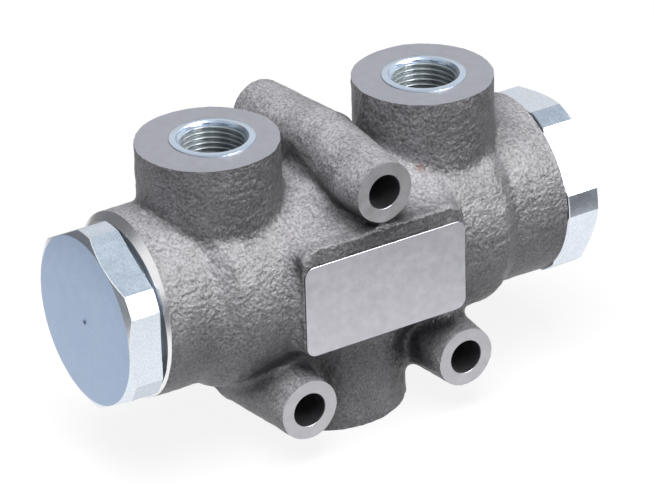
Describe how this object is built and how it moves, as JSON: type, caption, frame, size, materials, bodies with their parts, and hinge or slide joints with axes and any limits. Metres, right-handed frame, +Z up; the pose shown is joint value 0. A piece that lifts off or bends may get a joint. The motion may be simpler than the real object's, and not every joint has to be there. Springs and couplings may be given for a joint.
{
  "type": "flow divider valve",
  "caption": "Spool-type flow divider and combiner valve: cast-iron housing with inlet below, outlets on top, cross-drilled fixing bosses, and hexagon end plugs over hooked sliding pistons.",
  "frame": {"origin": "middle of the valve on the plane of the inlet's face, under the piston axis", "axes": "+X along the piston axis from outlet A to outlet B, +Y from the front pad to the back, +Z up out of the outlets"},
  "size_m": [0.13, 0.0544, 0.0764],
  "materials": {
    "cast_iron": "as cast, with milled and turned faces",
    "zinc_steel": "turned and milled, bright zinc plated",
    "piston_steel": "hardened and ground",
    "spring_steel": "drawn wire",
    "seal_rubber": "moulded",
    "seal_plastic": "turned"
  },
  "bodies": {
    "valve_body": {"housing": "cast_iron", "end_plug_left": "zinc_steel", "end_plug_right": "zinc_steel", "plug_o_ring_left": "seal_rubber", "plug_o_ring_right": "seal_rubber", "plug_backup_ring_left": "seal_plastic", "plug_backup_ring_right": "seal_plastic", "port_a_bush": "zinc_steel", "port_b_bush": "zinc_steel", "inlet_bush": "zinc_steel", "centring_spring_left": "spring_steel", "centring_spring_right": "spring_steel"},
    "left_piston": {"piston_left": "piston_steel", "orifice_disc_left": "piston_steel", "orifice_clip_left": "spring_steel", "centre_spring": "spring_steel"},
    "right_piston": {"piston_right": "piston_steel", "orifice_disc_right": "piston_steel", "orifice_clip_right": "spring_steel"}
  },
  "joints": [
    {"name": "piston_pair_slide", "type": "slide", "parent": "valve_body", "child": "left_piston", "axis": [1, 0, 0], "range_m": [-0.003, 0.003], "stiffness_N_per_m": 6000, "deforming": ["centring_spring_left", "centring_spring_right"]},
    {"name": "piston_hook_slide", "type": "slide", "parent": "left_piston", "child": "right_piston", "axis": [1, 0, 0], "range_m": [-0.0016, 0], "stiffness_N_per_m": 3000, "springref_m": 0.004, "deforming": ["centre_spring", "centring_spring_right"]}
  ]
}
